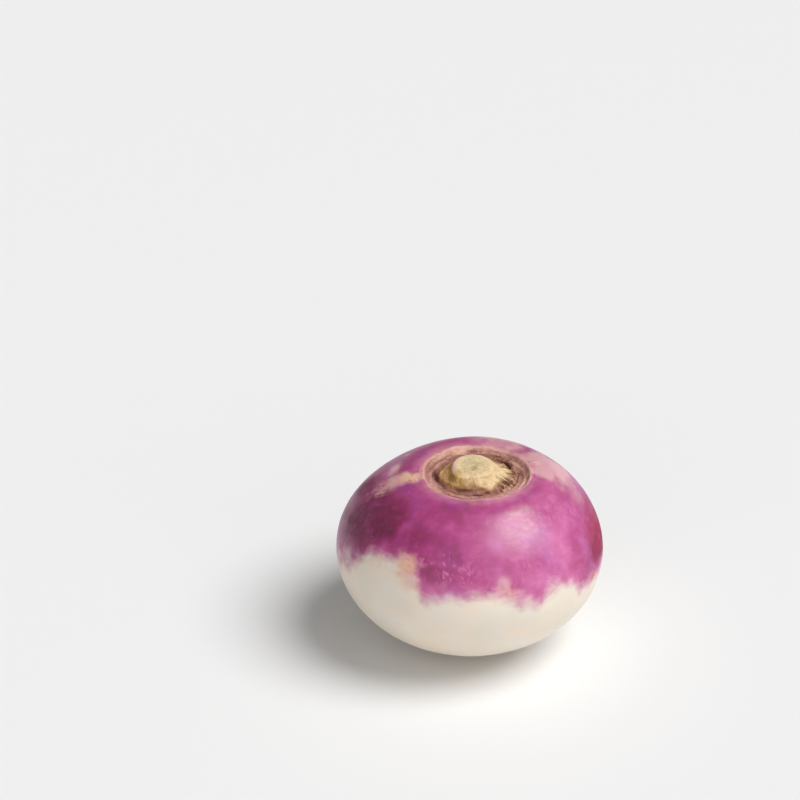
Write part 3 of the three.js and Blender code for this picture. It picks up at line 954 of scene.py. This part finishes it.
class Nodes:
    """A short way to write the nodes of a material or of the world."""

    def __init__(self, owner):
        owner.use_nodes = True
        self.tree = owner.node_tree

    def make(self, kind, inputs, **settings):
        node = self.tree.nodes.new("ShaderNode" + kind)
        for name, value in settings.items():
            setattr(node, name, value)
        for name, value in inputs.items():
            self.feed(node, name, value)
        return node

    def add(self, kind, inputs=None, output=0, **settings):
        """Makes a node, and gives one of its outputs."""
        return self.make(kind, inputs or {}, **settings).outputs[output]

    def feed(self, node, name, value):
        socket = node.inputs[name]
        if isinstance(value, bpy.types.NodeSocket):
            self.tree.links.new(value, socket)
        elif hasattr(value, "__len__") and len(value) == 3 and socket.type == "RGBA":
            socket.default_value = (*value, 1.0)
        else:
            socket.default_value = value

    def attribute(self, name, output="Fac"):
        return self.add("Attribute", output=output, attribute_name=name)

    def math(self, operation, first, second=0.0, third=0.0, clamp=False):
        inputs = {0: first, 1: second, 2: third}
        return self.add("Math", inputs, operation=operation, use_clamp=clamp)

    def ramp(self, value, low, high, start=0.0, end=1.0):
        """A smooth step from one number to another as a value goes from low to high."""
        inputs = {"Value": value, "From Min": low, "From Max": high, "To Min": start, "To Max": end}
        return self.add("MapRange", inputs, interpolation_type="SMOOTHSTEP")

    def colour_ramp(self, value, stops):
        output = self.add("ValToRGB", {"Fac": value})
        elements = output.node.color_ramp.elements
        while len(elements) < len(stops):
            elements.new(0.5)
        for element, (position, colour) in zip(elements, stops):
            element.position = position
            element.color = (*colour, 1.0)
        return output

    def blend(self, share, first, second, blend_type="MIX"):
        settings = {"data_type": "RGBA", "blend_type": blend_type, "clamp_factor": True}
        output = self.add("Mix", output=2, **settings)
        for socket, value in ((0, share), (6, first), (7, second)):
            self.feed(output.node, socket, value)
        return output

    def noise(self, vector, scale, detail, roughness, distortion=0.0):
        inputs = {"Vector": vector, "Scale": scale, "Detail": detail, "Roughness": roughness}
        return self.add("TexNoise", {**inputs, "Distortion": distortion})

    def stretch(self, vector, amounts):
        return self.add("VectorMath", {0: vector, 1: amounts}, operation="MULTIPLY")

    def sway(self, value, patterns, strengths):
        """Moves a value up and down with some patterns, each by its strength."""
        for name, strength in strengths.items():
            offset = self.math("SUBTRACT", patterns[name], 0.5)
            value = self.math("MULTIPLY_ADD", offset, strength, value)
        return value

    def surface(self, inputs):
        self.make("OutputMaterial", {"Surface": self.add("BsdfPrincipled", inputs)})


def new_material(name):
    """An empty material, and a short way to write its nodes."""
    material = bpy.data.materials.new(name)
    nodes = Nodes(material)
    nodes.tree.nodes.clear()
    return material, nodes


def skin_patterns(nodes):
    """The noises that the skin's colours, roughness and bump share, by name."""
    place = nodes.add("TexCoord", output="Object")
    inputs = {"Vector": place, "Scale": WANDER_SCALE, "Detail": 2.0}
    wander = nodes.add("TexNoise", inputs, output="Color")
    wander = nodes.add("VectorMath", {0: wander, 1: (0.5, 0.5, 0.5)}, operation="SUBTRACT")
    inputs = {0: nodes.stretch(wander, WANDER_REACH), 1: nodes.attribute("flow", "Vector")}
    flow = nodes.add("VectorMath", inputs, operation="ADD")
    patterns = {name: nodes.noise(place, *settings) for name, settings in PLACED_PATTERNS.items()}
    for name, (cells, *settings) in FLOWING_PATTERNS.items():
        patterns[name] = nodes.noise(nodes.stretch(flow, cells), 1.0, *settings)
    return patterns


def depth_of_purple(nodes, patterns, edge_mm):
    """The stored depth of colour, made uneven, with pale flecks, and paler towards the purple's edge."""
    depth = nodes.sway(nodes.attribute("depth"), patterns, DEPTH_SWAY)
    fleck = nodes.math("MULTIPLY", nodes.ramp(patterns["flecks"], *FLECKS), nodes.attribute("flecked"))
    depth = nodes.math("MULTIPLY_ADD", fleck, FLECK_DEPTH, depth)
    return nodes.math("ADD", depth, nodes.ramp(edge_mm, *PALER_EDGE))


def purple_colour(nodes, patterns, depth):
    """Purple and violet by their depth, with crimson patches and pale pink ones, two of the pink ones partly
    a painted highlight tint.
    """
    violet = nodes.ramp(patterns["violets"], *VIOLET_CLOUDS)
    violet = nodes.math("MULTIPLY", violet, nodes.ramp(depth, *VIOLET_BY_DEPTH))
    purple = nodes.blend(violet, nodes.colour_ramp(depth, PURPLES), nodes.colour_ramp(depth, VIOLETS))
    red = nodes.sway(nodes.attribute("red"), patterns, RED_SWAY)
    purple = nodes.blend(nodes.ramp(red, *RED_SHARE), purple, CRIMSON)
    between_flecks = nodes.ramp(patterns["flecks"], *BETWEEN_FLECKS)
    speckled = nodes.math("MULTIPLY", between_flecks, nodes.attribute("flecked"))
    # The pale pink is thin skin, and in two patches a painted highlight tint where the key lamp's highlight
    # falls.
    blush_and_highlight = nodes.math("MULTIPLY_ADD", speckled, FLECK_BLUSH, nodes.attribute("blush_and_highlight"))
    blush_and_highlight = nodes.sway(blush_and_highlight, patterns, BLUSH_AND_HIGHLIGHT_SWAY)
    return nodes.blend(nodes.ramp(blush_and_highlight, *BLUSH_AND_HIGHLIGHT_SHARE), purple, BLUSH_AND_HIGHLIGHT_PINK)


def cream_colour(nodes, patterns):
    cream = nodes.blend(nodes.ramp(patterns["mottle"], *WARM_CLOUDS), CREAM, WARM_CREAM)
    return nodes.blend(nodes.ramp(patterns["greys"], *GREY_CLOUDS), cream, GREY_CREAM)


def skin_roughness(nodes, patterns, depth, corky, crown):
    """Waxy where it is smooth, and rougher where it is corky, red, dark plum or in the crown."""
    rough = nodes.ramp(patterns["fine"], *WAX_ROUGHNESS)
    rough = nodes.math("MULTIPLY_ADD", corky, CORK_ROUGHNESS, rough)
    rough = nodes.math("MULTIPLY_ADD", nodes.attribute("red"), RED_ROUGHNESS, rough)
    rough = nodes.math("ADD", nodes.ramp(depth, *PLUM_ROUGHNESS), rough)
    return nodes.math("MULTIPLY_ADD", crown, CROWN_ROUGHNESS, rough, clamp=True)


def skin_bump(nodes, patterns, corky, crown):
    strength = nodes.math("MULTIPLY_ADD", corky, CORK_BUMP, SKIN_BUMP)
    strength = nodes.math("MULTIPLY_ADD", crown, CROWN_BUMP, strength)
    relief = nodes.math("MULTIPLY", nodes.math("ADD", patterns["fine"], patterns["growth"]), strength)
    return nodes.add("Bump", {"Strength": 0.6, "Distance": 0.00025, "Height": relief})


def turnip_skin():
    """The material of the whole turnip: purple over cream skin, cork, the crown and the root cut."""
    material, nodes = new_material("turnip_skin")
    patterns = skin_patterns(nodes)
    edge_mm = nodes.attribute("edge_mm")
    covered = nodes.ramp(nodes.sway(edge_mm, patterns, EDGE_SWAY), *COVERED)
    depth = depth_of_purple(nodes, patterns, edge_mm)
    colour = nodes.blend(covered, cream_colour(nodes, patterns), purple_colour(nodes, patterns, depth))
    streaky = nodes.ramp(patterns["growth"], *CORK_STREAKS)
    corky = nodes.math("MULTIPLY", nodes.attribute("cork"), streaky)
    colour = nodes.blend(corky, colour, nodes.blend(patterns["fine"], CORK_TAN, CORK_PINK))
    crown = nodes.attribute("crown")
    shade = nodes.colour_ramp(patterns["fine"], CROWN_SHADES)
    tone = nodes.blend(CROWN_SHADE_SHARE, nodes.attribute("tone", "Color"), shade, "MULTIPLY")
    colour = nodes.blend(crown, colour, tone)
    flesh = nodes.colour_ramp(patterns["flesh"], ROOT_FLESH)
    colour = nodes.blend(nodes.attribute("root_cut"), colour, flesh)
    inputs = {
        "Base Color": colour,
        "Roughness": skin_roughness(nodes, patterns, depth, corky, crown),
        "Normal": skin_bump(nodes, patterns, corky, crown),
        "Specular IOR Level": 0.62,
        "Subsurface Weight": 0.12,
        "Subsurface Radius": (1.0, 0.45, 0.4),
        "Subsurface Scale": 0.004,
    }
    nodes.surface(inputs)
    return material


turnip = make_turnip()
turnip.data.materials.append(turnip_skin())
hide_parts("turnip")
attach(turnip, "root")


# ---- floor, light and camera ----


def make_floor():
    turn = np.arange(FLOOR_SIDES) / FLOOR_SIDES * TAU
    rim = np.stack([FLOOR_RADIUS * np.cos(turn), FLOOR_RADIUS * np.sin(turn), 0 * turn], axis=1)
    floor = make_mesh("floor", rim, [tuple(range(FLOOR_SIDES))])
    white, nodes = new_material("floor_white")
    nodes.surface({"Base Color": FLOOR_WHITE, "Roughness": FLOOR_ROUGHNESS})
    floor.data.materials.append(white)


def soft_sun(name, direction, strength, spread):
    """An even light from one side, as soft as a panel that spreads over that many degrees."""
    light = bpy.data.lights.new(name, "SUN")
    light.energy = strength
    light.angle = math.radians(spread)
    lamp = add_object(name, light)
    lamp.rotation_mode = "QUATERNION"
    lamp.rotation_quaternion = Vector(direction).to_track_quat("Z", "Y")


def make_studio_world():
    """Pale walls that are brightest at the level of the floor."""
    world = bpy.data.worlds.new("studio")
    nodes = Nodes(world)
    direction = nodes.add("TexCoord", output="Generated")
    up = nodes.add("SeparateXYZ", {0: direction}, output="Z")
    limits = {"From Min": 0.0, "From Max": CEILING_FROM, "To Min": WALL_GLOW, "To Max": CEILING_GLOW}
    glow = nodes.add("MapRange", {"Value": up, **limits})
    background = nodes.tree.nodes["Background"]
    nodes.feed(background, "Color", (1, 1, 1))
    nodes.feed(background, "Strength", glow)
    bpy.context.scene.world = world


def make_camera():
    focal_pixels = PIXELS_PER_MM * VIEW_DISTANCE
    data = bpy.data.cameras.new("camera")
    data.sensor_width = SENSOR
    data.lens = focal_pixels * SENSOR / IMAGE_SIZE
    camera = add_object("camera", data)
    elevation = math.radians(VIEW_ELEVATION)
    centre = Vector((0, 0, -CUT_HEIGHT * MM))
    camera.location = centre + Vector((0, -math.cos(elevation), math.sin(elevation))) * VIEW_DISTANCE * MM
    level = Euler((math.pi / 2 - elevation, 0, 0)).to_quaternion()
    right, below = (pixel - IMAGE_SIZE / 2 for pixel in TURNIP_PIXEL)
    aside = Vector((right, -below, -focal_pixels)).rotation_difference(Vector((0, 0, -1)))
    camera.rotation_mode = "QUATERNION"
    camera.rotation_quaternion = level @ aside
    bpy.context.scene.camera = camera


make_floor()
for name, direction, strength, spread in SUNS:
    soft_sun(name, direction, strength, spread)
make_studio_world()
bpy.context.scene.view_settings.view_transform = "Standard"
make_camera()
